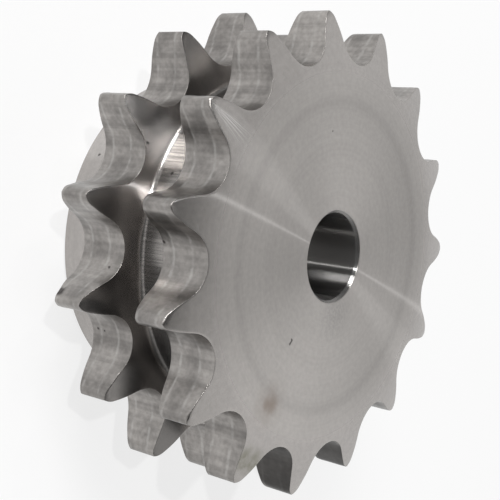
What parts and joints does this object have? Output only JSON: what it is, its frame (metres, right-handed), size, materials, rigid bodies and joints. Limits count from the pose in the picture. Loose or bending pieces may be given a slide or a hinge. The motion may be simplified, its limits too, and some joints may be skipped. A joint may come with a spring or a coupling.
{
  "type": "duplex chain sprocket",
  "caption": "Two-row roller chain sprocket with a groove between its rows, a hub on one side and a plain pilot bore.",
  "frame": {"origin": "centre of the bore at the hub's end face", "axes": "+Z along the bore from the hub's end to the flat toothed face; a tooth space of both rows is centred on +X"},
  "size_m": [0.0649, 0.0654, 0.0293],
  "materials": {
    "steel": "turned faces and hobbed tooth gaps, matte grey with fine tool marks"
  },
  "bodies": {
    "root": {"sprocket": "steel"}
  },
  "joints": []
}
